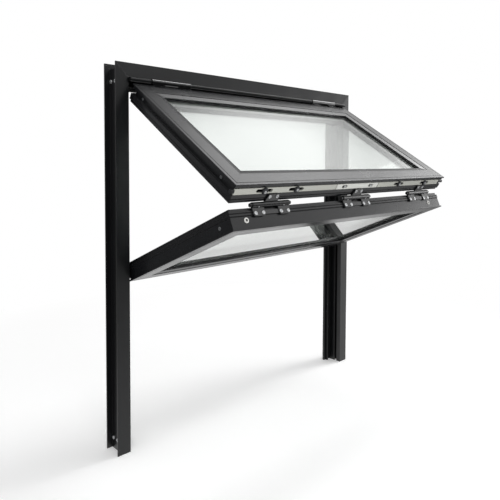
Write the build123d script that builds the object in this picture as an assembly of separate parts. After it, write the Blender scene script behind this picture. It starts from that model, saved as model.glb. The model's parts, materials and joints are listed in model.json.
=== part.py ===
from build123d import *
import os
from math import asin, atan2, cos, degrees, hypot, radians, sin

# Outer frame, millimetres; the frame stands in the XZ plane with its outside face towards -Y
FRAME_WIDTH = 1000.0
FRAME_HEIGHT = 1050.0
FRAME_DEPTH = 62.0

# Frame extrusion, shared by the head and the two jambs
FACE_WIDTH = 38.0
FRAME_WALL = 2.0
FRONT_FLANGE = 3.0
FIXING_FLANGE = 4.0
CHANNEL_DEPTH = 15.0
STOP_HEIGHT = 31.0
STOP_THICKNESS = 8.6

# Guide track in the inner side of each jamb
TRACK_MOUTH = 10.0
TRACK_WIDTH = 17.0
TRACK_DEPTH = 14.0
TRACK_LIP = 2.5

# Round nosing along the hinge line of the head, and how far its web runs back under the head
NOSING_RADIUS = 5.2
NOSING_LAP = 12.0

# Fold of the two sashes
OPENING_ANGLE = 58.4
SIDE_GAP = 4.5
UPPER_HEIGHT = 482.5
LOWER_HEIGHT = 464.0
MEETING_GAP = 5.6

# Sash extrusion, shared by all stiles and rails
SASH_THICKNESS = 50.0
SASH_FACE = 44.0
SASH_WALL = 2.0
FACE_LIP = 4.0
EDGE_ROUND = 1.2
OUTER_STEP = 3.0
INNER_STEP = 1.5
LEG_REACH = 16.0
LEG_THICKNESS = 16.0

# Shadow line in the outside face, and the seal slot and rebate in the inside half of the outer edge
REVEAL_INSET = 8.0
REVEAL_WIDTH = 1.4
REVEAL_DEPTH = 0.9
SEAL_SLOT_START = 37.5
SEAL_SLOT_WIDTH = 2.5
SEAL_SLOT_DEPTH = 3.0
BACK_REBATE = 7.0

# Hardware groove round the outer edge of the upper sash; the lower sash has a plain band and a slot instead
GROOVE_START = 11.0
GROOVE_WIDTH = 16.0
GROOVE_LEDGE = 5.0
GROOVE_DEPTH = 11.0
GROOVE_RETURN = 2.0
PLAIN_BAND = 31.0
BAND_SLOT_WIDTH = 2.0

# Double glazing and the beads that hold it
BEAD_WIDTH = 18.0
BEAD_SINK = 1.0
BEAD_FALL = 3.0
BEAD_ROUND = 1.5
GLASS_FRONT = 12.0
PANE_THICKNESS = 5.0
PANE_CLEARANCE = 6.0
SPACER_INSET = 6.0
SPACER_WIDTH = 10.0

# Seals
GASKET_WIDTH = 8.0
GASKET_BASE = 3.0
GASKET_BULB = 3.5
GASKET_INSET = 14.0

# Shared by both kinds of hinge
CENTRE_KNUCKLE = 45.0
KNUCKLE_GAP = 0.5
PIN_RADIUS = 2.5
PIN_CLEARANCE = 0.15
LUG_ROUND = 5.0

# Butt hinges between the head and the upper sash, at an inset from the ends of the sash
HEAD_HINGE_INSET = 124.0
HEAD_HINGE_LENGTH = 127.0
HEAD_KNUCKLE_RADIUS = 7.4
HEAD_AXIS_OUT = 7.0
HEAD_AXIS_DROP = 5.7
SASH_SETBACK = 5.6
SASH_DROP = 12.7
HEAD_LEAF_THICKNESS = 2.5
FRAME_LEAF_DEPTH = 28.0
SASH_LUG_LAP = 4.0

# Hinges where the two sashes meet, one in the middle and two at an inset from the ends of the sash
MEETING_HINGE_INSET = 127.5
MEETING_HINGE_LENGTH = 118.0
MEETING_KNUCKLE_RADIUS = 6.5
KNOB_RADIUS = 4.5
KNOB_LENGTH = 6.0
MEETING_AXIS_BACK = 4.0
MEETING_LUG_THICKNESS = 4.0
MEETING_LUG_REACH = 22.0
UPPER_LUG_TAPER = 6.0
BRIDGE_THICKNESS = 2.0
BRIDGE_WIDTH = 10.0
BRIDGE_SETBACK = 8.5

# Sliding lock bar in the lower groove of the upper sash
BAR_THICKNESS = 4.0
BAR_CLEARANCE = 0.3
BAR_BREAKS = (-104.0, 84.0)
BAR_BREAK_GAP = 3.0
BAR_LEFT_INSET = 4.0
BAR_RIGHT_INSET = 26.0
SLOT_WIDTH = 9.0

# Cams in the long slots, placed from the ends of the sash, and studs near the breaks of the bar
LEFT_CAM_INSETS = (94.0, 200.0)
RIGHT_CAM_INSETS = (263.0, 113.0)
CAM_SLOT_LENGTH = 51.0
CAM_RADIUS = 9.0
CAM_HEIGHT = 3.5
CAM_EDGE = 1.5
CAM_BLOCK = 7.0
STUD_INSET = 35.0
STUD_SLOT_LENGTH = 22.0
STUD_RADIUS = 3.5
STUD_REACH = 1.0

# Round lock pins at both ends of the bar
LOCK_PIN_RADIUS = 5.2
LOCK_PIN_REACH = 4.0

# Guides at the bottom corners of the lower sash
GUIDE_LENGTH = 42.0
GUIDE_WIDTH = 26.0
GUIDE_THICKNESS = 10.5
GUIDE_PIN_RADIUS = 4.0
GUIDE_PIN_DEPTH = 23.0
GUIDE_PIN_DROP = 3.2
ROLLER_WIDTH = 8.0
ROLLER_CLEARANCE = 0.3
ROLLER_LIP_GAP = 0.7

# Worked out from the sizes above
# The origin lies in the middle of the flat back of the head
FRONT_Y = -FRAME_DEPTH
TOP_Z = (FACE_WIDTH + STOP_HEIGHT) / 2
HEAD_EDGE_Z = TOP_Z - FACE_WIDTH
STOP_FRONT = FRAME_DEPTH - STOP_THICKNESS
SASH_WIDTH = FRAME_WIDTH - 2 * (FACE_WIDTH + SIDE_GAP)
HEAD_HINGE_X = SASH_WIDTH / 2 - HEAD_HINGE_INSET
MEETING_HINGE_X = SASH_WIDTH / 2 - MEETING_HINGE_INSET
LEG_FRONT = SASH_THICKNESS - LEG_THICKNESS
CAVITY = LEG_FRONT - GLASS_FRONT - 2 * PANE_THICKNESS
PANE_EDGE = SASH_FACE + PANE_CLEARANCE
SASH_REACH = SASH_FACE + BEAD_WIDTH
FRAME_REACH = FACE_WIDTH + STOP_HEIGHT

# Fold geometry in the YZ plane: the head axis, the meeting axis and the guide pin in its track
HEAD_AXIS_Y = FRONT_Y - HEAD_AXIS_OUT
HEAD_AXIS_Z = HEAD_EDGE_Z - HEAD_AXIS_DROP
TRACK_Y = HEAD_AXIS_Y + SASH_SETBACK + GUIDE_PIN_DEPTH
TRACK_CENTRE = TRACK_Y - FRONT_Y
UPPER_REACH = SASH_DROP + UPPER_HEIGHT + MEETING_GAP / 2
UPPER_BACK = SASH_SETBACK + SASH_THICKNESS + MEETING_AXIS_BACK
OPENING = radians(OPENING_ANGLE)
MEETING_Y = HEAD_AXIS_Y - UPPER_REACH * sin(OPENING) + UPPER_BACK * cos(OPENING)
MEETING_Z = HEAD_AXIS_Z - UPPER_REACH * cos(OPENING) - UPPER_BACK * sin(OPENING)
PIN_REACH = MEETING_GAP / 2 + LOWER_HEIGHT + GUIDE_PIN_DROP
PIN_BACK = MEETING_AXIS_BACK + SASH_THICKNESS - GUIDE_PIN_DEPTH
LINK = hypot(PIN_REACH, PIN_BACK)
LOWER_ANGLE = degrees(asin((TRACK_Y - MEETING_Y) / LINK) + atan2(PIN_BACK, PIN_REACH))

# Axis frames of the two hinge lines, turned with the sash that each one carries
HEAD_AXIS = Pos(0, HEAD_AXIS_Y, HEAD_AXIS_Z)
UPPER_SWING = HEAD_AXIS * Rot(-OPENING_ANGLE, 0, 0)
MEETING_ON_UPPER = UPPER_SWING * Pos(0, UPPER_BACK, -UPPER_REACH)
LOWER_SWING = Pos(0, MEETING_Y, MEETING_Z) * Rot(LOWER_ANGLE, 0, 0)

# Sash frames: the middle of the outside face, X to the right, Y inwards, Z up the sash
UPPER_SASH = UPPER_SWING * Pos(0, SASH_SETBACK, -SASH_DROP - UPPER_HEIGHT / 2)
LOWER_SASH = LOWER_SWING * Pos(0, -MEETING_AXIS_BACK - SASH_THICKNESS, -(MEETING_GAP + LOWER_HEIGHT) / 2)

# Turn about Y that points a bar's inner side at the middle of the frame
TURN = {"bottom": 0, "left": 90, "top": 180, "right": -90}


def outline(*points):
    """Closed flat face: first value inwards from the outer edge, second value from front to back."""
    return make_face(Polyline(*points, close=True))


def block(x_range, y_range, z_range):
    """Rectangular solid between three pairs of limits."""
    spans = [high - low for low, high in (x_range, y_range, z_range)]
    middles = [(low + high) / 2 for low, high in (x_range, y_range, z_range)]
    return Pos(*middles) * Box(*spans)


def rod(radius, x_range, y=0.0, z=0.0):
    """Round bar along X."""
    low, high = x_range
    return Pos((low + high) / 2, y, z) * Rot(0, 90, 0) * Cylinder(radius, high - low)


def extrusion(section, length):
    """Bar along X with its section's outer edge on Z = 0 and its front on Y = 0."""
    plane = Plane(origin=(length / 2, 0, 0), x_dir=(0, 0, 1), z_dir=(-1, 0, 0))
    return extrude(plane * section, amount=length)


def mitred(section, length, reach, start=True, end=True):
    """Extrusion whose chosen ends are cut at 45 degrees towards its inner side."""
    half = length / 2
    trim = Polyline(
        (-half, 0), (half, 0), (half - reach * end, reach), (-half + reach * start, reach), close=True
    )
    cutter = extrude(Plane.XZ * make_face(trim), amount=FRAME_DEPTH + SASH_THICKNESS, both=True)
    return extrusion(section, length) & cutter


def frame_section(with_track):
    """Hollow frame profile: outer channel, interior stop and, on the jambs, the guide track."""
    back = FRAME_DEPTH
    track_start = TRACK_CENTRE - TRACK_WIDTH / 2
    track_end = TRACK_CENTRE + TRACK_WIDTH / 2
    mouth_start = TRACK_CENTRE - TRACK_MOUTH / 2
    mouth_end = TRACK_CENTRE + TRACK_MOUTH / 2
    floor = FACE_WIDTH - TRACK_DEPTH
    skin = FACE_WIDTH - FRAME_WALL
    web = CHANNEL_DEPTH + FRAME_WALL
    profile = outline(
        (0, 0), (FACE_WIDTH, 0), (FACE_WIDTH, STOP_FRONT), (FRAME_REACH, STOP_FRONT), (FRAME_REACH, back),
        (0, back), (0, back - FIXING_FLANGE), (CHANNEL_DEPTH, back - FIXING_FLANGE),
        (CHANNEL_DEPTH, FRONT_FLANGE), (0, FRONT_FLANGE),
    )
    stop_cavity = [
        (skin, STOP_FRONT + FRAME_WALL), (FRAME_REACH - FRAME_WALL, STOP_FRONT + FRAME_WALL),
        (FRAME_REACH - FRAME_WALL, back - FRAME_WALL), (web, back - FRAME_WALL),
    ]
    if not with_track:
        return profile - outline((web, FRONT_FLANGE), (skin, FRONT_FLANGE), *stop_cavity)
    track = outline(
        (FACE_WIDTH, mouth_start), (FACE_WIDTH, mouth_end), (FACE_WIDTH - TRACK_LIP, mouth_end),
        (FACE_WIDTH - TRACK_LIP, track_end), (floor, track_end), (floor, track_start),
        (FACE_WIDTH - TRACK_LIP, track_start), (FACE_WIDTH - TRACK_LIP, mouth_start),
    )
    cavity = outline(
        (web, FRONT_FLANGE), (skin, FRONT_FLANGE), (skin, track_start - FRAME_WALL),
        (floor - FRAME_WALL, track_start - FRAME_WALL), (floor - FRAME_WALL, track_end + FRAME_WALL),
        (skin, track_end + FRAME_WALL), *stop_cavity,
    )
    return profile - track - cavity


def sash_section(grooved):
    """Hollow sash profile: flat face, outer edge with or without the hardware groove, inside leg."""
    back, wall = SASH_THICKNESS, SASH_WALL
    groove_end = GROOVE_START + GROOVE_WIDTH
    reveal_end = REVEAL_INSET + REVEAL_WIDTH
    slot_end = SEAL_SLOT_START + SEAL_SLOT_WIDTH
    slot_floor = INNER_STEP + SEAL_SLOT_DEPTH
    leg_end = SASH_FACE + LEG_REACH
    groove = [
        (GROOVE_LEDGE, groove_end), (GROOVE_LEDGE, groove_end - GROOVE_RETURN),
        (GROOVE_DEPTH, groove_end - GROOVE_RETURN), (GROOVE_DEPTH, GROOVE_START + GROOVE_RETURN),
        (GROOVE_LEDGE, GROOVE_START + GROOVE_RETURN), (GROOVE_LEDGE, GROOVE_START),
        (OUTER_STEP, GROOVE_START),
    ]
    band_end = PLAIN_BAND + BAND_SLOT_WIDTH
    plain = [
        (INNER_STEP, band_end), (slot_floor, band_end), (slot_floor, PLAIN_BAND), (OUTER_STEP, PLAIN_BAND),
    ]
    profile = outline(
        (0, 0), (REVEAL_INSET, 0), (REVEAL_INSET, REVEAL_DEPTH),
        (reveal_end, REVEAL_DEPTH), (reveal_end, 0),
        (SASH_FACE, 0), (SASH_FACE, LEG_FRONT), (leg_end, LEG_FRONT), (leg_end, back), (slot_floor, back),
        (slot_floor, back - BACK_REBATE), (INNER_STEP, back - BACK_REBATE), (INNER_STEP, slot_end),
        (slot_floor, slot_end), (slot_floor, SEAL_SLOT_START), (INNER_STEP, SEAL_SLOT_START),
        *([(INNER_STEP, groove_end), *groove] if grooved else plain),
        (OUTER_STEP, FACE_LIP), (0, FACE_LIP),
    )
    corner = [point for point in profile.vertices() if abs(point.X) + abs(point.Y) < 1e-6]
    profile = fillet(corner, EDGE_ROUND)
    front = OUTER_STEP + wall
    channel = [
        (GROOVE_DEPTH + wall, groove_end + wall), (GROOVE_DEPTH + wall, GROOVE_START - wall),
        (front, GROOVE_START - wall),
    ]
    cavity = outline(
        (front, wall), (SASH_FACE - wall, wall), (SASH_FACE - wall, LEG_FRONT + wall),
        (leg_end - wall, LEG_FRONT + wall), (leg_end - wall, back - wall), (slot_floor + wall, back - wall),
        (slot_floor + wall, groove_end + wall), *(channel if grooved else [(front, groove_end + wall)]),
    )
    return profile - cavity


def bead_section():
    """Glazing bead that falls gently towards the glass and ends in a rounded edge."""
    inner = SASH_REACH
    low = BEAD_SINK + BEAD_FALL
    profile = outline((SASH_FACE, BEAD_SINK), (inner, low), (inner, GLASS_FRONT), (SASH_FACE, GLASS_FRONT))
    nose = [corner for corner in profile.vertices() if abs(corner.X - inner) + abs(corner.Y - low) < 1e-6]
    return fillet(nose, BEAD_ROUND)


def make_frame():
    """Head and jambs, mitred at the top corners, with the jambs cut square at the foot."""
    middle_z = TOP_Z - FRAME_HEIGHT / 2
    half = FRAME_WIDTH / 2
    head = mitred(frame_section(False), FRAME_WIDTH, FRAME_REACH)
    left = mitred(frame_section(True), FRAME_HEIGHT, FRAME_REACH, end=False)
    right = mitred(frame_section(True), FRAME_HEIGHT, FRAME_REACH, start=False)
    return {
        "head": Pos(0, FRONT_Y, TOP_Z) * Rot(0, TURN["top"], 0) * head,
        "left_jamb": Pos(-half, FRONT_Y, middle_z) * Rot(0, TURN["left"], 0) * left,
        "right_jamb": Pos(half, FRONT_Y, middle_z) * Rot(0, TURN["right"], 0) * right,
    }


def make_nosing():
    """Round strip on the hinge line, webbed to the head, in lengths between jambs and hinges."""
    web = HEAD_LEAF_THICKNESS
    section = outline((0, -HEAD_AXIS_OUT), (web, -HEAD_AXIS_OUT), (web, NOSING_LAP), (0, NOSING_LAP))
    section += Pos(HEAD_AXIS_DROP, -HEAD_AXIS_OUT) * Circle(NOSING_RADIUS)
    inside = FRAME_WIDTH / 2 - FACE_WIDTH
    hinge = HEAD_HINGE_LENGTH / 2 + KNUCKLE_GAP
    near, far = HEAD_HINGE_X - hinge, HEAD_HINGE_X + hinge
    lengths = []
    for start, end in ((-inside, -far), (-near, near), (far, inside)):
        strip = Rot(0, TURN["top"], 0) * extrusion(section, end - start)
        lengths.append(Pos((start + end) / 2, FRONT_Y, HEAD_EDGE_Z) * strip)
    return Compound(children=lengths)


def make_seals():
    """Bulb gaskets along the stops of the jambs and the head."""
    inner = FACE_WIDTH + GASKET_INSET
    front = STOP_FRONT - GASKET_BASE
    outer = inner + GASKET_WIDTH
    seal = outline((inner, front), (outer, front), (outer, STOP_FRONT), (inner, STOP_FRONT))
    seal += Pos(inner + GASKET_WIDTH / 2, front - GASKET_BULB / 2) * Circle(GASKET_BULB)
    length = FRAME_HEIGHT - FRAME_REACH
    span = FRAME_WIDTH - 2 * outer
    half = FRAME_WIDTH / 2
    middle_z = TOP_Z - FRAME_REACH - length / 2
    left = Rot(0, TURN["left"], 0) * extrusion(seal, length)
    right = Rot(0, TURN["right"], 0) * extrusion(seal, length)
    top = Rot(0, TURN["top"], 0) * extrusion(seal, span)
    return {
        "left_stop_gasket": Pos(-half, FRONT_Y, middle_z) * left,
        "right_stop_gasket": Pos(half, FRONT_Y, middle_z) * right,
        "head_seal": Pos(0, FRONT_Y, TOP_Z) * top,
    }


def make_sash(name, height, place, grooved):
    """Four mitred members with or without the hardware groove, four beads and a sealed double pane."""
    half_width, half_height = SASH_WIDTH / 2, height / 2
    sides = {
        "bottom_rail": ("bottom", SASH_WIDTH, (0, -half_height)),
        "top_rail": ("top", SASH_WIDTH, (0, half_height)),
        "left_stile": ("left", height, (-half_width, 0)),
        "right_stile": ("right", height, (half_width, 0)),
    }
    pieces = {}
    for member, (side, length, (x, z)) in sides.items():
        seat = place * Pos(x, 0, z) * Rot(0, TURN[side], 0)
        pieces[f"{name}_{member}"] = seat * mitred(sash_section(grooved), length, SASH_REACH)
        pieces[f"{name}_{side}_bead"] = seat * mitred(bead_section(), length, SASH_REACH)
    pane_width, pane_height = SASH_WIDTH - 2 * PANE_EDGE, height - 2 * PANE_EDGE
    pane = Box(pane_width, PANE_THICKNESS, pane_height)
    outer_y = GLASS_FRONT + PANE_THICKNESS / 2
    inner_y = LEG_FRONT - PANE_THICKNESS / 2
    ring_width, ring_height = pane_width - 2 * SPACER_INSET, pane_height - 2 * SPACER_INSET
    ring = Box(ring_width, CAVITY, ring_height)
    ring -= Box(ring_width - 2 * SPACER_WIDTH, CAVITY, ring_height - 2 * SPACER_WIDTH)
    pieces[f"{name}_outer_pane"] = place * Pos(0, outer_y, 0) * pane
    pieces[f"{name}_inner_pane"] = place * Pos(0, inner_y, 0) * pane
    pieces[f"{name}_spacer"] = place * Pos(0, (outer_y + inner_y) / 2, 0) * ring
    return pieces


def lug_spans(length):
    """X ranges of the two outer knuckles of a hinge."""
    half, inner = length / 2, CENTRE_KNUCKLE / 2 + KNUCKLE_GAP
    return ((-half, -inner), (inner, half))


def barrel(length, radius):
    """Two outer knuckles with their pin, and the solid centre knuckle."""
    half, centre = length / 2, CENTRE_KNUCKLE / 2
    outer = rod(PIN_RADIUS, (-half, half))
    for span in lug_spans(length):
        outer += rod(radius, span)
    return outer, rod(radius, (-centre, centre))


def pin_bore(length):
    """Clearance round the hinge pin."""
    return rod(PIN_RADIUS + PIN_CLEARANCE, (-length / 2, length / 2))


def lug(x_range, reach, thickness, taper=0.0):
    """Flat plate on Z = 0 to its thickness, from the axis to a rounded free end at -Y."""
    low, high = x_range
    shape = Polyline((low, 0), (high, 0), (high - taper, -reach), (low + taper, -reach), close=True)
    plate = extrude(make_face(shape), amount=thickness, dir=(0, 0, 1))
    free_end = plate.edges().filter_by(Axis.Z).group_by(Axis.Y)[0]
    return fillet(free_end, LUG_ROUND)


def make_head_hinges():
    """Butt hinges: the outer lugs lap the upper sash's outside face, the centre one hangs from the head."""
    half, centre = HEAD_HINGE_LENGTH / 2, CENTRE_KNUCKLE / 2
    sash_leaf, frame_leaf = barrel(HEAD_HINGE_LENGTH, HEAD_KNUCKLE_RADIUS)
    on_face = Pos(0, SASH_SETBACK, 0) * Rot(90, 0, 0)
    for span in lug_spans(HEAD_HINGE_LENGTH):
        sash_leaf += on_face * lug(span, SASH_DROP + SASH_LUG_LAP, HEAD_LEAF_THICKNESS)
    under_head = (HEAD_AXIS_DROP - HEAD_LEAF_THICKNESS, HEAD_AXIS_DROP)
    plate_start = HEAD_AXIS_OUT + KNUCKLE_GAP
    frame_leaf += block((-half, half), (plate_start, HEAD_AXIS_OUT + FRAME_LEAF_DEPTH), under_head)
    frame_leaf += block((-centre, centre), (0, plate_start), under_head)
    frame_leaf -= pin_bore(HEAD_HINGE_LENGTH)
    pieces = {}
    for side, x in (("left", -HEAD_HINGE_X), ("right", HEAD_HINGE_X)):
        pieces[f"{side}_head_hinge_frame_leaf"] = HEAD_AXIS * Pos(x, 0, 0) * frame_leaf
        pieces[f"{side}_head_hinge_sash_leaf"] = UPPER_SWING * Pos(x, 0, 0) * sash_leaf
    return pieces


def make_meeting_hinges():
    """Hinges between the sashes: a tapered centre lug above, two knobbed outer lugs with a bridge below."""
    half, centre = MEETING_HINGE_LENGTH / 2, CENTRE_KNUCKLE / 2
    reach = MEETING_AXIS_BACK + MEETING_LUG_REACH
    seat = MEETING_GAP / 2 + INNER_STEP
    lower_leaf, upper_leaf = barrel(MEETING_HINGE_LENGTH, MEETING_KNUCKLE_RADIUS)
    centre_lug = lug((-centre, centre), reach, MEETING_LUG_THICKNESS, UPPER_LUG_TAPER)
    upper_leaf += Pos(0, 0, seat - MEETING_LUG_THICKNESS) * centre_lug
    upper_leaf -= pin_bore(MEETING_HINGE_LENGTH)
    for span in lug_spans(MEETING_HINGE_LENGTH):
        lower_leaf += Pos(0, 0, -seat) * lug(span, reach, MEETING_LUG_THICKNESS)
    for span in ((-half - KNOB_LENGTH, -half), (half, half + KNOB_LENGTH)):
        lower_leaf += rod(KNOB_RADIUS, span)
    bridge_back = -MEETING_AXIS_BACK - BRIDGE_SETBACK
    bridge_span = (-centre - KNUCKLE_GAP, centre + KNUCKLE_GAP)
    bridge_depth = (bridge_back - BRIDGE_WIDTH, bridge_back)
    lower_leaf += block(bridge_span, bridge_depth, (-seat, BRIDGE_THICKNESS - seat))
    pieces = {}
    for side, x in (("left", -MEETING_HINGE_X), ("centre", 0.0), ("right", MEETING_HINGE_X)):
        pieces[f"{side}_meeting_hinge_upper_leaf"] = MEETING_ON_UPPER * Pos(x, 0, 0) * upper_leaf
        pieces[f"{side}_meeting_hinge_lower_leaf"] = LOWER_SWING * Pos(x, 0, 0) * lower_leaf
    return pieces


def make_lock():
    """Slotted lock bar in three lengths, the cams and studs in its slots, and the pins at its ends."""
    side, edge = SASH_WIDTH / 2, -UPPER_HEIGHT / 2
    seat, floor = edge + GROOVE_LEDGE, edge + GROOVE_DEPTH
    middle_y = GROOVE_START + GROOVE_WIDTH / 2
    half_width = GROOVE_WIDTH / 2 - BAR_CLEARANCE
    outer_face = seat - BAR_THICKNESS
    bar_start, bar_end = -side + BAR_LEFT_INSET, side - BAR_RIGHT_INSET
    first_break, last_break = BAR_BREAKS
    cam_places = [inset - side for inset in LEFT_CAM_INSETS] + [side - inset for inset in RIGHT_CAM_INSETS]
    stud_places = [first_break + STUD_INSET, last_break - STUD_INSET]
    slots = [(x, CAM_SLOT_LENGTH) for x in cam_places] + [(x, STUD_SLOT_LENGTH) for x in stud_places]
    gap = BAR_BREAK_GAP / 2
    lengths = {
        "left": (bar_start, first_break - gap),
        "centre": (first_break + gap, last_break - gap),
        "right": (last_break + gap, bar_end),
    }
    pieces = {}
    for name, (start, end) in lengths.items():
        bar = block((start, end), (middle_y - half_width, middle_y + half_width), (outer_face, seat))
        for x, length in slots:
            if start < x < end:
                slot = extrude(SlotOverall(length, SLOT_WIDTH), amount=GROOVE_DEPTH, both=True)
                bar -= Pos(x, middle_y, seat) * slot
        pieces[f"lock_bar_{name}"] = UPPER_SASH * bar
    cam_face = outer_face - BAR_CLEARANCE
    cams = []
    for x in cam_places:
        slider = Pos(x, middle_y, (floor + cam_face) / 2) * Box(CAM_BLOCK, CAM_BLOCK, floor - cam_face)
        cap = Pos(x, middle_y, cam_face - CAM_HEIGHT / 2) * Cylinder(CAM_RADIUS, CAM_HEIGHT)
        cams.append(UPPER_SASH * (slider + chamfer(cap.edges().group_by(Axis.Z)[0], CAM_EDGE)))
    pin_z = floor - BAR_CLEARANCE - LOCK_PIN_RADIUS
    pin_end = side + LOCK_PIN_REACH
    for span in ((-pin_end, bar_start), (bar_end, pin_end)):
        cams.append(UPPER_SASH * rod(LOCK_PIN_RADIUS, span, middle_y, pin_z))
    pieces["lock_cams"] = Compound(children=cams)
    stud_end = outer_face - STUD_REACH
    stud = Cylinder(STUD_RADIUS, floor - stud_end)
    studs = [UPPER_SASH * Pos(x, middle_y, (floor + stud_end) / 2) * stud for x in stud_places]
    pieces["lock_studs"] = Compound(children=studs)
    return pieces


def side_range(side, near, far):
    """X range between two distances from the middle, on the left (-1) or right (1)."""
    return tuple(sorted((side * near, side * far)))


def make_guides():
    """Corner blocks with a pin that carries a roller in each jamb track."""
    edge = -LOWER_HEIGHT / 2
    seat = edge + INNER_STEP
    stile = SASH_WIDTH / 2
    pin_y, pin_z = GUIDE_PIN_DEPTH, edge - GUIDE_PIN_DROP
    roller_start = FRAME_WIDTH / 2 - FACE_WIDTH + TRACK_LIP + ROLLER_LIP_GAP
    roller_end = roller_start + ROLLER_WIDTH
    depth = (pin_y - GUIDE_WIDTH / 2, pin_y + GUIDE_WIDTH / 2)
    radius = TRACK_WIDTH / 2 - ROLLER_CLEARANCE
    pieces, rollers = {}, []
    for name, side in (("left", -1), ("right", 1)):
        body = block(side_range(side, stile - GUIDE_LENGTH, stile), depth, (seat - GUIDE_THICKNESS, seat))
        pin = rod(GUIDE_PIN_RADIUS, side_range(side, stile, roller_end), pin_y, pin_z)
        roller_span = side_range(side, roller_start, roller_end)
        bore = rod(GUIDE_PIN_RADIUS + PIN_CLEARANCE, roller_span, pin_y, pin_z)
        pieces[f"{name}_guide_bracket"] = LOWER_SASH * (body + pin)
        rollers.append(LOWER_SASH * (rod(radius, roller_span, pin_y, pin_z) - bore))
    pieces["guide_rollers"] = Compound(children=rollers)
    return pieces


def main():
    os.makedirs("parts", exist_ok=True)
    pieces = make_frame()
    pieces["head_nosing"] = make_nosing()
    pieces.update(make_seals())
    pieces.update(make_sash("upper", UPPER_HEIGHT, UPPER_SASH, grooved=True))
    pieces.update(make_sash("lower", LOWER_HEIGHT, LOWER_SASH, grooved=False))
    pieces.update(make_head_hinges())
    pieces.update(make_meeting_hinges())
    pieces.update(make_lock())
    pieces.update(make_guides())
    for name, piece in pieces.items():
        export_step(piece, f"parts/{name}.step")


main()
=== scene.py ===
import json
from math import radians

import bmesh
import bpy
from mathutils import Euler, Matrix, Vector


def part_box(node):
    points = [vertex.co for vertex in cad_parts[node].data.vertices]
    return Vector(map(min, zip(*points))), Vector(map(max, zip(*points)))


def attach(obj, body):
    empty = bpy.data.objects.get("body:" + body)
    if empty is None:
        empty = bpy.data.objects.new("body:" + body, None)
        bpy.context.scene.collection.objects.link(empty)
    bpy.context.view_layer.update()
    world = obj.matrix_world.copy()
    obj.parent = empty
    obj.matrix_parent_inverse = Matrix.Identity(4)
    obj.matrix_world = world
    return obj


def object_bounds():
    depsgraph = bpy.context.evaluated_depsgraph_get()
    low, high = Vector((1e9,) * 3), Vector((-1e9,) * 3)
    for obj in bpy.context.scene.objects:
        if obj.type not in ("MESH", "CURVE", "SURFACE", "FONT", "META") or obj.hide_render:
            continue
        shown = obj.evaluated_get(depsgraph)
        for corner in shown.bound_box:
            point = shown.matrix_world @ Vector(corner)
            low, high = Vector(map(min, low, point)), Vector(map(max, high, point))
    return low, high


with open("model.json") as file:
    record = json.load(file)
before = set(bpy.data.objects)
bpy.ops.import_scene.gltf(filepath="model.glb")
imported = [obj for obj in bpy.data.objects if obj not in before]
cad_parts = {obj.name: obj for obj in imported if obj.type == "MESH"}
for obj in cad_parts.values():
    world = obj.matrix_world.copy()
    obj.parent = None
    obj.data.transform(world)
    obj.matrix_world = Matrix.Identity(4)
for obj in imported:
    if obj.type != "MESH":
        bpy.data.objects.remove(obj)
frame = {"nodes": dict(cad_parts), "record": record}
cad_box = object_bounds()
nodes = frame["nodes"]

MM = 0.001

# Screws, millimetres: radius and height of the head, and radius of the six-sided socket
HINGE_SCREW = (4.6, 1.6, 2.2)
CAM_SCREW = (3.6, 1.4, 1.5)
CHANNEL_SCREW = (5.0, 2.2, 2.4)
GROOVE_SCREW = (4.2, 1.4, 2.0)
GRUB_SCREW = (2.0, 0.5, 1.1)
CAP_SCREW = (3.0, 1.2, 1.5)
CAP_SCREW_LIFT = 0.4

# White end cap on the meeting edge of the lower sash, millimetres: radius, height and radius of its hole
END_CAP = (6.4, 2.0, 3.2)

# Shape of the round heads: sides, steps of the rounded rim, and parts of a head's height
ROUND_SIDES = 28
SOCKET_SIDES = 6
RIM_STEPS = 3
SCREW_RIM = 0.45
SOCKET_MIDDLE = 0.85
CAP_RIM = 0.4
CAP_HOLE_DEPTH = 0.8

# Places of the screws, millimetres: along X from the hinge's middle, and inwards from the sash's outside face
LOWER_LEAF_SCREWS = (-52.75, -28.75, 28.75, 52.75)
LOWER_LEAF_DEPTH = 35.0
UPPER_LUG_SCREWS = (-12.0, 12.0)
UPPER_LUG_DEPTH = 34.0
PIN_GRUBS = (-40.75, 40.75)
PIN_DEPTH = 48.0
# Along X from the sash's middle, and inwards
CAM_PLACES = ((-363.5, 20.5), (-257.5, 19.0), (194.5, 19.0), (344.5, 19.0))
CAP_PLACES = ((-411.0, 22.0), (385.0, 19.0))
# Down from the sash's upper edge, and inwards
UPPER_STILE_PLACES = ((49.0, 21.0), (422.0, 19.5))
LOWER_STILE_PLACES = ((45.0, 20.0),)
# Down from the top of a jamb, up from its foot, and back from its front
CHANNEL_DROP = 48.0
CHANNEL_RISE = 29.0
CHANNEL_DEPTHS = (28.5, 51.0)
# Where the lines that find a seat start: past the edge of a sash, and to the side of the middle
PAST_EDGE = 60.0
PAST_SIDE = 600.0
PAST_JAMB = 700.0

# Rubber rings round each sash, millimetres: inset of the outer edge, width, and depths of the back and
# front from the outside face
GLAZING_RINGS = {"outer_gasket": (61.0, 4.0, 12.0, 9.8), "inner_gasket": (59.0, 4.0, 36.2, 34.0)}
# Black rubber in the slots of the outer edge: partly a real seal, partly painted shade, its black standing in
# for the shade deep in the slots
EDGE_SEAL_AND_SLOT_SHADE = (1.8, 2.5, 39.9, 37.6)
# Black rubber strip in a slot at the step of the lower sash's band: painted shadow, standing in for the
# shadow line at that step
BAND_SHADOW_STRIP = (2.4, 1.9, 32.9, 31.1)
RING_ROUNDING = 0.6
RING_STEPS = 3

# Patterns of the materials, metres: clouds in the colour and sheen of the powder coat, its grain, which is
# 0.3 mm across in reality and drawn coarser so that it still shows, and the film of dust on the glass
CLOUD_SIZE = 0.09
GRAIN_SIZE = 0.0015
DUST_SIZE = 0.16
# Part of a noise that carries most of its change, and how far it moves the roughness of coats and metals
NOISE_RANGE = (0.3, 0.7)
COAT_UNEVENNESS = 0.04
METAL_UNEVENNESS = 0.06
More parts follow.
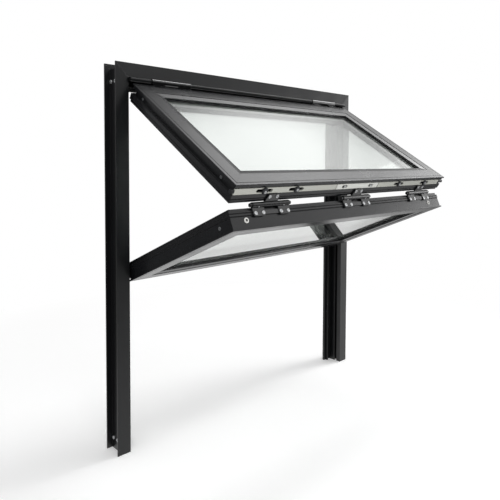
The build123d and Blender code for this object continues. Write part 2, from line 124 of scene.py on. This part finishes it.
# Relief: depth of the bumps and rounding of the edges in millimetres, and strengths
BUMP_DEPTH = 0.1
COAT_ROUNDING = 0.7
METAL_ROUNDING = 0.4
COAT_PEEL = 0.12
POLYMER_GRAIN = 0.15
EDGE_SAMPLES = 6
# How far the die lines spread the sheen of a coat, and how weakly rubber and plastic mirror
DIE_LINE_SPREAD = 0.8
POLYMER_SPECULAR = 0.35
# Black of the frame's coat
FRAME_TONES = ("#0C0D0E", "#121315")
# Glass: its tints, refraction, and where the film lies and how rough it is
GLASS_TINTS = ("#E5E8E6", "#EBEEEC")
GLASS_IOR = 1.5
DUST_RANGE = (0.45, 0.8)
DUST_ROUGHNESS = (0.0, 0.015)
# Angles in degrees up to which faces are shaded as one, and from which the rings' edges are rounded
SMOOTH_ANGLE = 35.0
RING_EDGE_ANGLE = 40.0

# Soft lamps: name, place in metres, width and length in metres, power in watts, and whether it is mirrored
SOFT_LAMPS = (
    ("soft_key", (-1.6, -2.2, 2.4), (2.6, 2.6), 25.0, True),
    ("soft_side", (3.6, -0.6, 1.1), (2.2, 2.2), 13.0, False),
    ("soft_fill", (3.2, -2.1, -0.2), (1.6, 1.6), 21.0, True),
    ("edge_light", (2.0, -0.45, 2.1), (0.6, 2.6), 45.0, True),
    ("front_light", (-1.6, -1.7, 0.6), (0.5, 0.5), 2.0, True),
)
LAMP_AIM = (0.0, -0.2, -0.4)

# White surround: level for diffuse light, and level where it is seen
SURROUND_LEVELS = (0.5, 1.0)
# In reflections: it brightens between two heights, and darkens between two directions towards the back
CEILING_HEIGHTS = (0.05, 0.28)
CEILING_LEVELS = (0.04, 1.05)
BACK_RANGE = (0.2, 0.4)
BACK_LEVELS = (1.0, 0.45)
# Its soft bright parts in reflections: direction, cosine of the angle to the rim, and strength
SOFT_GLOWS = (
    ((0.92, 0.05, 0.38), 0.95, 0.9),
    ((0.68, 0.27, 0.68), 0.97, 1.7),
    ((-0.53, 0.84, 0.12), 0.85, 0.3),
)
GLOW_CORE = 0.995

# Floor, metres: its size, the size of its clouds, where it turns white, and the middle and range of its
# fall-off in reflections
FLOOR_SIZE = 40.0
FLOOR_TONES = ("#F6F6F6", "#FAFAFA")
FLOOR_CLOUDS = 0.4
FLOOR_GLOW = 0.24
FLOOR_WHITENS = (1.0, 1.6)
FLOOR_BRIGHT_PLACE = (0.5, 0.35, 0.0)
FLOOR_FALL = (1.0, 2.0)
FLOOR_LEVELS = (0.95, 0.1)

# Camera: place in metres, turn in degrees, focal length and sensor in millimetres, and shift
CAMERA_PLACE = (-1.1830, -1.3151, -0.2206)
CAMERA_TURN = (87.5496, -0.3011, -44.5372)
FOCAL_LENGTH = 37.864
SENSOR_WIDTH = 36.0
LENS_SHIFT = (-0.03278, -0.13486)


def linear(colour):
    """Linear RGBA of an sRGB hex colour."""
    channels = [int(colour[place:place + 2], 16) / 255 for place in (1, 3, 5)]
    return tuple(c / 12.92 if c <= 0.04045 else ((c + 0.055) / 1.055) ** 2.4 for c in channels) + (1.0,)


def add(tree, kind, inputs=None, **settings):
    """Add one node with its settings; each input takes a value or another node's output."""
    made = tree.nodes.new(kind)
    for name, value in settings.items():
        setattr(made, name, value)
    for socket, value in (inputs or {}).items():
        if isinstance(value, bpy.types.NodeSocket):
            tree.links.new(value, made.inputs[socket])
        else:
            made.inputs[socket].default_value = value
    return made


def noise(tree, place, size, detail):
    """Noise with blobs of the given size in metres."""
    made = add(tree, "ShaderNodeTexNoise", {"Vector": place, "Scale": 1 / size, "Detail": detail})
    return made.outputs["Fac"]


def ramp(tree, value, reach, levels, smooth=False):
    """A value carried from one range to another, and held at its ends."""
    made = add(tree, "ShaderNodeMapRange", {"Value": value, "From Min": reach[0], "From Max": reach[1],
               "To Min": levels[0], "To Max": levels[1]},
               interpolation_type="SMOOTHSTEP" if smooth else "LINEAR")
    return made.outputs["Result"]


def around(middle, spread):
    """Range of the given spread on both sides of a value."""
    return middle - spread, middle + spread


def blend(tree, factor, tones):
    """Colour that goes from the first tone to the second with a factor."""
    dark, light = (linear(tone) for tone in tones)
    made = add(tree, "ShaderNodeMix", {0: factor, 6: dark, 7: light}, data_type="RGBA")
    return made.outputs[2]


def reckon(tree, operation, first, second, clamp=False):
    """Result of one operation on two values."""
    made = add(tree, "ShaderNodeMath", {0: first, 1: second}, operation=operation, use_clamp=clamp)
    return made.outputs[0]


def relief(tree, height, strength, rounding=0.0):
    """Normal of a surface with fine bumps, and with edges rounded by so many millimetres."""
    inputs = {"Strength": strength, "Distance": BUMP_DEPTH * MM, "Height": height}
    if rounding:
        edges = add(tree, "ShaderNodeBevel", {"Radius": rounding * MM}, samples=EDGE_SAMPLES)
        inputs["Normal"] = edges.outputs["Normal"]
    return add(tree, "ShaderNodeBump", inputs).outputs["Normal"]


def new_material(name):
    """Empty material, its node tree and the object's own coordinates in metres."""
    material = bpy.data.materials.new(name)
    material.use_nodes = True
    tree = material.node_tree
    tree.nodes.clear()
    return material, tree, add(tree, "ShaderNodeTexCoord").outputs["Object"]


def principled(tree, inputs):
    """Principled shader as the material's surface."""
    skin = add(tree, "ShaderNodeBsdfPrincipled", inputs)
    add(tree, "ShaderNodeOutputMaterial", {"Surface": skin.outputs["BSDF"]})
    return skin


def powder_coat(name, tones, roughness, specular=0.5, lines=None):
    """Powder-coated aluminium: near-black polyester with a fine orange-peel grain and soft cloudy sheen.

    Where the direction of the die lines under the coat is given, they spread the sheen across themselves.
    """
    material, tree, place = new_material(name)
    clouds = noise(tree, place, CLOUD_SIZE, 3.0)
    grain = noise(tree, place, GRAIN_SIZE, 2.0)
    coat = principled(tree, {
        "Base Color": blend(tree, clouds, tones),
        "Roughness": ramp(tree, clouds, NOISE_RANGE, around(roughness, COAT_UNEVENNESS)),
        "Specular IOR Level": specular,
        "Normal": relief(tree, grain, COAT_PEEL, COAT_ROUNDING)})
    if lines:
        way = add(tree, "ShaderNodeCombineXYZ", dict(zip("XYZ", lines)))
        tree.links.new(way.outputs["Vector"], coat.inputs["Tangent"])
        coat.inputs["Anisotropic"].default_value = DIE_LINE_SPREAD
    return material


def metal(name, tones, roughness, metallic, width, bump, stretch=1.0, specular=0.5):
    """Metal with streaks along X: width in metres is the size of one across, stretch its length in widths."""
    material, tree, place = new_material(name)
    along = add(tree, "ShaderNodeMapping", {"Vector": place, "Scale": (1 / stretch, 1.0, 1.0)})
    streaks = noise(tree, along.outputs["Vector"], width, 3.0)
    principled(tree, {
        "Base Color": blend(tree, streaks, tones),
        "Roughness": ramp(tree, streaks, NOISE_RANGE, around(roughness, METAL_UNEVENNESS)),
        "Metallic": metallic,
        "Specular IOR Level": specular,
        "Normal": relief(tree, streaks, bump, METAL_ROUNDING)})
    return material


def polymer(name, tones, roughness, grain_size):
    """Rubber or moulded plastic: even colour with a fine matt grain."""
    material, tree, place = new_material(name)
    grain = noise(tree, place, grain_size, 3.0)
    principled(tree, {
        "Base Color": blend(tree, grain, tones),
        "Roughness": roughness,
        "Specular IOR Level": POLYMER_SPECULAR,
        "Normal": relief(tree, grain, POLYMER_GRAIN)})
    return material


def float_glass():
    """Clear float glass: a trace of green, and a faint film of dust that breaks up its gloss."""
    material, tree, place = new_material("clear_float_glass")
    film = noise(tree, place, DUST_SIZE, 4.0)
    principled(tree, {
        "Base Color": blend(tree, film, GLASS_TINTS),
        "Roughness": ramp(tree, film, DUST_RANGE, DUST_ROUGHNESS),
        "IOR": GLASS_IOR,
        "Transmission Weight": 1.0})
    return material


FINISHES = {
    # Near-black polyester coat; the die lines run along the head and spread its sheen up and down
    "frame_aluminium": powder_coat("head_powder_coat", FRAME_TONES, roughness=0.36, lines=(1, 0, 0)),
    # A smoother coat on the sashes, which mirrors the ceiling as soft greys
    "sash_aluminium": powder_coat("sash_powder_coat", ("#0E0F11", "#151619"), roughness=0.25),
    "glass": float_glass(),
    # Drawn aluminium strip bent round the pane, dull grey
    "spacer_aluminium": metal("drawn_spacer_aluminium", ("#8E8F8E", "#A6A7A6"), roughness=0.45, metallic=0.8,
                              width=0.0015, bump=0.1, stretch=40.0),
    # Zinc die castings with a black lacquer, slightly uneven
    "hinge_metal": metal("black_lacquered_zinc", ("#0E0F10", "#18191B"), roughness=0.22, metallic=0.1,
                         width=0.004, bump=0.3, specular=0.9),
    # Extruded aluminium bar, satin with draw lines along its length
    "lock_aluminium": metal("extruded_lock_aluminium", ("#B9BAB2", "#D9DAD2"), roughness=0.42, metallic=0.5,
                            width=0.0018, bump=0.25, stretch=120.0),
    # Dark zinc castings, dull with a faint metallic sheen
    "stud_steel": metal("dark_cast_zinc", ("#2A2B2D", "#3C3D40"), roughness=0.4, metallic=0.6, width=0.003,
                        bump=0.2),
    # Matt black rubber
    "seal_rubber": polymer("epdm_rubber", ("#0C0C0D", "#141415"), roughness=0.62, grain_size=0.002),
    # Black moulded plastic, a little smoother than the rubber
    "guide_plastic": polymer("black_nylon", ("#121213", "#1B1B1C"), roughness=0.5, grain_size=0.0015),
}

# The centre length of the lock bar is a brighter anodised piece
BRIGHT_BAR = metal("anodised_lock_aluminium", ("#D6D7D1", "#F0F1EC"), roughness=0.36, metallic=0.4,
                   width=0.0018, bump=0.2, stretch=120.0)
# The hinges under the head have a smoother lacquer with a sharp light along the barrel
GLOSSY_HINGE = metal("glossy_black_lacquer", ("#060607", "#0B0C0D"), roughness=0.09, metallic=0.0,
                     width=0.004, bump=0.6, specular=0.9)
# The head's coat on the jambs, where the die lines run upright
JAMB_COAT = powder_coat("jamb_powder_coat", FRAME_TONES, roughness=0.36, lines=(0, 0, 1))
# The round nosing has a copy of the head's coat, duller and a shade darker: painted shade that keeps it dark
# beside the hinges
SHADED_NOSING_COAT = powder_coat("nosing_coat_painted_shade", ("#0B0C0D", "#101113"), roughness=0.42, specular=0.22)
# Screws with bright zinc, which stand out as light dots, and duller ones in the sides of the stiles
ZINC_PLATE = metal("bright_zinc_plate", ("#B9BBBD", "#E2E3E4"), roughness=0.3, metallic=0.85, width=0.002,
                   bump=0.15)
DULL_ZINC = metal("dull_zinc_plate", ("#6C6E70", "#8C8E90"), roughness=0.42, metallic=0.7, width=0.002,
                  bump=0.15)
# Black screws, the dark middles of the white end caps: partly real screws, partly painted shade, their black
# standing in for the shade inside the caps' holes
BLACK_SCREW_AND_HOLE_SHADE = metal("black_screw_steel_and_hole_shade", ("#0A0A0B", "#141415"), roughness=0.5, metallic=0.2, width=0.002,
                    bump=0.15, specular=0.3)
# Plain white moulded plastic
WHITE_NYLON = polymer("white_nylon", ("#E4E4E0", "#F0F0EC"), roughness=0.45, grain_size=0.002)

# Nodes that differ from the rest of their slot
OWN_FINISHES = {"left_jamb": JAMB_COAT, "right_jamb": JAMB_COAT, "lock_studs": ZINC_PLATE,
                "lock_bar_centre": BRIGHT_BAR, "head_nosing": SHADED_NOSING_COAT}
for side in ("left", "right"):
    for leaf in ("frame", "sash"):
        OWN_FINISHES[f"{side}_head_hinge_{leaf}_leaf"] = GLOSSY_HINGE

for part in frame["record"]["subparts"]:
    cad = nodes[part["node"]]
    cad.data.materials.clear()
    cad.data.materials.append(OWN_FINISHES.get(part["node"], FINISHES[part["material_slot"]]))
    # Light passes through the panes, so they throw no shadow
    cad.visible_shadow = part["material_slot"] != "glass"


class Sash:
    """A sash's own directions and extents, read from its solids."""

    def __init__(self, name):
        pane = nodes[f"{name}_outer_pane"]
        face = max((p for p in pane.data.polygons if p.normal.y < -0.1), key=lambda p: p.area)
        self.name = name
        self.right = Vector((1, 0, 0))
        self.inward = -face.normal.normalized()
        self.up = self.right.cross(self.inward).normalized()
        members = [nodes[f"{name}_{member}"] for member in ("left_stile", "right_stile")]
        corners = [vertex.co for member in members for vertex in member.data.vertices]
        ranges = [[corner.dot(axis) for corner in corners] for axis in (self.right, self.up, self.inward)]
        low, high = [min(r) for r in ranges], [max(r) for r in ranges]
        self.half_width, self.half_height = (high[0] - low[0]) / 2, (high[1] - low[1]) / 2
        self.middle = self.up * ((low[1] + high[1]) / 2) + self.inward * low[2]

    def at(self, x, u, v):
        """World point: x right and u up from the middle of the outside face, v inwards, in millimetres."""
        return self.middle + (self.right * x + self.up * u + self.inward * v) * MM


upper, lower = Sash("upper"), Sash("lower")
# Heights in millimetres just past the edges where the sashes meet
PAST_LOWER_TOP = lower.half_height / MM + PAST_EDGE
PAST_UPPER_BOTTOM = -upper.half_height / MM - PAST_EDGE


def pick_faces(piece, wanted):
    """In edit mode, select only the faces whose normal is wanted."""
    bpy.ops.mesh.select_mode(type="FACE")
    bpy.ops.mesh.select_all(action="DESELECT")
    mesh = bmesh.from_edit_mesh(piece.data)
    for face in mesh.faces:
        face.select_set(wanted(face.normal))
    bmesh.update_edit_mesh(piece.data)


def apply_modifier(piece, kind, **settings):
    """Add one modifier with its settings and apply it."""
    modifier = piece.modifiers.new(kind.lower(), kind)
    for name, value in settings.items():
        setattr(modifier, name, value)
    bpy.context.view_layer.objects.active = piece
    bpy.ops.object.modifier_apply(modifier=modifier.name)


def round_blank(radius, height, rim):
    """Round head on Z = 0 with a rounded upper rim, left in edit mode with its top face selected."""
    bpy.ops.object.select_all(action="DESELECT")
    bpy.ops.mesh.primitive_cylinder_add(vertices=ROUND_SIDES, radius=radius, depth=height,
                                        location=(0, 0, height / 2))
    bpy.ops.object.transform_apply(location=True)
    blank = bpy.context.object
    bpy.ops.object.mode_set(mode="EDIT")
    pick_faces(blank, lambda normal: normal.z > 0.9)
    bpy.ops.mesh.bevel(offset=rim, segments=RIM_STEPS, affect="EDGES")
    pick_faces(blank, lambda normal: normal.z > 0.99)
    return blank


def model_screw(size):
    """Low screw head with a rounded rim and a six-sided socket."""
    radius, height, socket = (value * MM for value in size)
    screw = round_blank(radius, height, height * SCREW_RIM)
    bpy.ops.object.mode_set(mode="OBJECT")
    bpy.ops.mesh.primitive_cylinder_add(vertices=SOCKET_SIDES, radius=socket, depth=height,
                                        location=(0, 0, height * SOCKET_MIDDLE))
    tool = bpy.context.object
    apply_modifier(screw, "BOOLEAN", object=tool, operation="DIFFERENCE", solver="EXACT")
    bpy.data.objects.remove(tool)
    return screw


def model_end_cap(size):
    """Round cap with a rounded rim and a hole in its middle."""
    radius, height, hole = (value * MM for value in size)
    cap = round_blank(radius, height, height * CAP_RIM)
    bpy.ops.mesh.inset(thickness=radius - height * CAP_RIM - hole)
    bpy.ops.mesh.extrude_region_move(TRANSFORM_OT_translate={"value": (0, 0, -height * CAP_HOLE_DEPTH)})
    bpy.ops.object.mode_set(mode="OBJECT")
    return cap


def settle(piece, name, material):
    """Give a finished piece its name, shading, finish and body."""
    piece.name = name
    piece.data.name = name
    bpy.ops.object.select_all(action="DESELECT")
    piece.select_set(True)
    bpy.context.view_layer.objects.active = piece
    bpy.ops.object.shade_smooth_by_angle(angle=radians(SMOOTH_ANGLE))
    piece.data.materials.clear()
    piece.data.materials.append(material)
    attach(piece, "root")


def touch(node, start, direction):
    """Where a straight line from start first meets a CAD node, and the surface's normal there."""
    found, place, normal, _ = nodes[node].ray_cast(start, direction)
    if not found:
        raise ValueError(f"nothing of {node} lies at {tuple(start)}")
    return place, normal


def place_all(model, name, material, seats, lift=0.0):
    """Copy a modelled piece onto each seat, with its Z along the seat's normal, and drop the model."""
    for number, (place, normal) in enumerate(seats, 1):
        turn = normal.to_track_quat("Z", "X").to_matrix().to_4x4()
        copy = model.copy()
        copy.data = model.data.copy()
        bpy.context.collection.objects.link(copy)
        copy.data.transform(Matrix.Translation(place + normal * lift * MM) @ turn)
        settle(copy, f"{name}_{number}", material)
    bpy.data.objects.remove(model)


def hinge_seats():
    """Seats of the screws on the meeting hinges, and of the grub screws over their pins."""
    screws, grubs = [], []
    for side in ("left", "centre", "right"):
        leaf, lug = f"{side}_meeting_hinge_lower_leaf", f"{side}_meeting_hinge_upper_leaf"
        low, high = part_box(leaf)
        x = (low.x + high.x) / 2 / MM
        for offset in LOWER_LEAF_SCREWS:
            screws.append(touch(leaf, lower.at(x + offset, PAST_LOWER_TOP, LOWER_LEAF_DEPTH), -lower.up))
        for offset in UPPER_LUG_SCREWS:
            screws.append(touch(lug, upper.at(x + offset, PAST_UPPER_BOTTOM, UPPER_LUG_DEPTH), upper.up))
        for offset in PIN_GRUBS:
            grubs.append(touch(leaf, lower.at(x + offset, PAST_LOWER_TOP, PIN_DEPTH), -lower.up))
    return screws, grubs


def cam_seats():
    """Seats of the screws in the four cams of the lock bar."""
    return [touch("lock_cams", upper.at(x, PAST_UPPER_BOTTOM, v), upper.up) for x, v in CAM_PLACES]


def channel_seats():
    """Seats of the fixing screws in the outer channels of both jambs, near the head and near the feet."""
    seats = []
    for node, side in (("left_jamb", -1), ("right_jamb", 1)):
        low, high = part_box(node)
        for z in (high.z - CHANNEL_DROP * MM, low.z + CHANNEL_RISE * MM):
            for depth in CHANNEL_DEPTHS:
                start = Vector((side * PAST_JAMB * MM, low.y + depth * MM, z))
                seats.append(touch(node, start, Vector((-side, 0, 0))))
    return seats


def side_seats():
    """Seats of the screws in the outer sides of the stiles."""
    seats = []
    for side, name in ((-1, "left"), (1, "right")):
        for sash, places in ((upper, UPPER_STILE_PLACES), (lower, LOWER_STILE_PLACES)):
            for drop, v in places:
                start = sash.at(side * PAST_SIDE, sash.half_height / MM - drop, v)
                seats.append(touch(f"{sash.name}_{name}_stile", start, Vector((-side, 0, 0))))
    return seats


def cap_seats():
    """Seats of the two white end caps on the meeting edge of the lower sash."""
    return [touch("lower_top_rail", lower.at(x, PAST_LOWER_TOP, v), -lower.up) for x, v in CAP_PLACES]


def fasten():
    """Model each kind of screw and cap once and copy it to its places."""
    screws, grubs = hinge_seats()
    place_all(model_screw(HINGE_SCREW), "hinge_screw", ZINC_PLATE, screws)
    place_all(model_screw(GRUB_SCREW), "hinge_grub_screw", ZINC_PLATE, grubs)
    place_all(model_screw(CAM_SCREW), "cam_screw", ZINC_PLATE, cam_seats())
    place_all(model_screw(CHANNEL_SCREW), "channel_screw", ZINC_PLATE, channel_seats())
    place_all(model_screw(GROOVE_SCREW), "stile_screw", DULL_ZINC, side_seats())
    caps = cap_seats()
    place_all(model_end_cap(END_CAP), "end_cap", WHITE_NYLON, caps)
    # Black screws in the caps' holes, which also paint the shade inside the holes
    place_all(model_screw(CAP_SCREW), "end_cap_screw", BLACK_SCREW_AND_HOLE_SHADE, caps, lift=CAP_SCREW_LIFT)


def make_ring(sash, name, size):
    """Rubber strip round a sash, mitred at its corners and with softened edges."""
    inset, breadth, back, front = size
    width, height = 2 * (sash.half_width - inset * MM), 2 * (sash.half_height - inset * MM)
    bpy.ops.object.select_all(action="DESELECT")
    bpy.ops.mesh.primitive_plane_add(size=1)
    strip = bpy.context.object
    bpy.ops.object.mode_set(mode="EDIT")
    bpy.ops.mesh.select_all(action="SELECT")
    bpy.ops.transform.resize(value=(width, height, 1))
    bpy.ops.mesh.inset(thickness=breadth * MM)
    bpy.ops.mesh.delete(type="FACE")
    bpy.ops.object.mode_set(mode="OBJECT")
    apply_modifier(strip, "SOLIDIFY", thickness=(back - front) * MM, offset=1.0)
    apply_modifier(strip, "BEVEL", width=RING_ROUNDING * MM, segments=RING_STEPS, limit_method="ANGLE",
                   angle_limit=radians(RING_EDGE_ANGLE))
    axes = Matrix((sash.right, sash.up, -sash.inward)).transposed().to_4x4()
    strip.data.transform(Matrix.Translation(sash.at(0, 0, back)) @ axes)
    settle(strip, f"{sash.name}_{name}", FINISHES["seal_rubber"])


def make_rings():
    """Glazing gaskets on both sides of the glass, seals in the edge slots that are partly painted shade, and
    a painted shadow line on the band.
    """
    for sash in (upper, lower):
        for name, size in GLAZING_RINGS.items():
            make_ring(sash, name, size)
        # Seals in the edge slots, whose black is partly painted shade
        make_ring(sash, "edge_seal_and_slot_shade", EDGE_SEAL_AND_SLOT_SHADE)
    # Black strip that paints the shadow line at the step of the lower sash's band
    make_ring(lower, "band_shadow_strip", BAND_SHADOW_STRIP)


def mirrored_rays(tree):
    """One for rays that a surface mirrors, zero for the rest, also for those that pass through glass."""
    ray = add(tree, "ShaderNodeLightPath").outputs
    return reckon(tree, "SUBTRACT", ray["Is Glossy Ray"], ray["Is Transmission Ray"], clamp=True)


def make_floor():
    """Pale matt studio floor under the feet, white where nothing shades it."""
    bpy.ops.object.select_all(action="DESELECT")
    bpy.ops.mesh.primitive_plane_add(size=FLOOR_SIZE, location=(0, 0, cad_box[0].z))
    floor = bpy.context.object
    floor.name = "studio_floor"
    material, tree, place = new_material("pale_studio_floor")
    tone = blend(tree, noise(tree, place, FLOOR_CLOUDS, 2.0), FLOOR_TONES)
    matt = add(tree, "ShaderNodeBsdfDiffuse", {"Color": tone})
    glow = add(tree, "ShaderNodeEmission", {"Strength": FLOOR_GLOW})
    lit = add(tree, "ShaderNodeAddShader", {0: matt.outputs["BSDF"], 1: glow.outputs["Emission"]})
    # Away from the window the floor turns into the white surround
    away = add(tree, "ShaderNodeVectorMath", {0: place}, operation="LENGTH").outputs["Value"]
    edge = ramp(tree, away, FLOOR_WHITENS, (0.0, 1.0))
    plain = add(tree, "ShaderNodeEmission", {"Strength": 1.0})
    seen = add(tree, "ShaderNodeMixShader", {0: edge, 1: lit.outputs["Shader"], 2: plain.outputs["Emission"]})
    # In reflections it darkens with the distance from a place behind the window
    apart = add(tree, "ShaderNodeVectorMath", {0: place, 1: FLOOR_BRIGHT_PLACE}, operation="DISTANCE")
    fall = ramp(tree, apart.outputs["Value"], FLOOR_FALL, FLOOR_LEVELS)
    dim = add(tree, "ShaderNodeEmission", {"Strength": fall})
    both = add(tree, "ShaderNodeMixShader", {0: mirrored_rays(tree), 1: seen.outputs["Shader"],
               2: dim.outputs["Emission"]})
    add(tree, "ShaderNodeOutputMaterial", {"Surface": both.outputs["Shader"]})
    floor.data.materials.append(material)


def make_surround():
    """White surround, weaker as diffuse light, and in reflections shaded as under a bright ceiling."""
    world = bpy.data.worlds.new("white_surround")
    world.use_nodes = True
    bpy.context.scene.world = world
    tree = world.node_tree
    tree.nodes.clear()
    ray = add(tree, "ShaderNodeLightPath").outputs
    sharp = reckon(tree, "MAXIMUM", ray["Is Camera Ray"], ray["Is Glossy Ray"])
    seen = reckon(tree, "MAXIMUM", sharp, ray["Is Transmission Ray"])
    strength = ramp(tree, seen, (0.0, 1.0), SURROUND_LEVELS)
    # In reflections it falls off towards the horizon and the back
    way = add(tree, "ShaderNodeTexCoord").outputs["Generated"]
    along = add(tree, "ShaderNodeSeparateXYZ", {"Vector": way}).outputs
    ceiling = ramp(tree, along["Z"], CEILING_HEIGHTS, CEILING_LEVELS, smooth=True)
    bright = reckon(tree, "MULTIPLY", ceiling, ramp(tree, along["Y"], BACK_RANGE, BACK_LEVELS))
    for towards, rim, power in SOFT_GLOWS:
        near = add(tree, "ShaderNodeVectorMath", {0: way, 1: towards}, operation="DOT_PRODUCT")
        glow = ramp(tree, near.outputs["Value"], (rim, GLOW_CORE), (0.0, power), smooth=True)
        bright = reckon(tree, "ADD", bright, glow)
    shade = add(tree, "ShaderNodeMix", {0: mirrored_rays(tree), 2: 1.0, 3: bright})
    level = reckon(tree, "MULTIPLY", strength, shade.outputs[0])
    surround = add(tree, "ShaderNodeBackground", {"Color": (1, 1, 1, 1), "Strength": level})
    add(tree, "ShaderNodeOutputWorld", {"Surface": surround.outputs["Background"]})


def light_scene():
    """Soft lamps on both sides, above and in front of the window."""
    for name, place, size, power, mirrored in SOFT_LAMPS:
        bpy.ops.object.light_add(type="AREA", location=place)
        lamp = bpy.context.object
        lamp.name = name
        lamp.data.shape = "RECTANGLE"
        lamp.data.size, lamp.data.size_y = size
        lamp.data.energy = power
        lamp.visible_glossy = mirrored
        aim = Vector(LAMP_AIM) - lamp.location
        lamp.rotation_euler = aim.to_track_quat("-Z", "Y").to_euler()
    bpy.context.scene.view_settings.view_transform = "Standard"


def make_camera():
    """Camera where the picture was taken: low, on the left, in front of the window."""
    lens = bpy.data.cameras.new("view")
    lens.lens = FOCAL_LENGTH
    lens.sensor_width = SENSOR_WIDTH
    lens.shift_x, lens.shift_y = LENS_SHIFT
    camera = bpy.data.objects.new("view", lens)
    camera.location = CAMERA_PLACE
    camera.rotation_euler = Euler([radians(angle) for angle in CAMERA_TURN])
    bpy.context.scene.collection.objects.link(camera)
    bpy.context.scene.camera = camera


fasten()
make_rings()
make_floor()
make_surround()
light_scene()
make_camera()
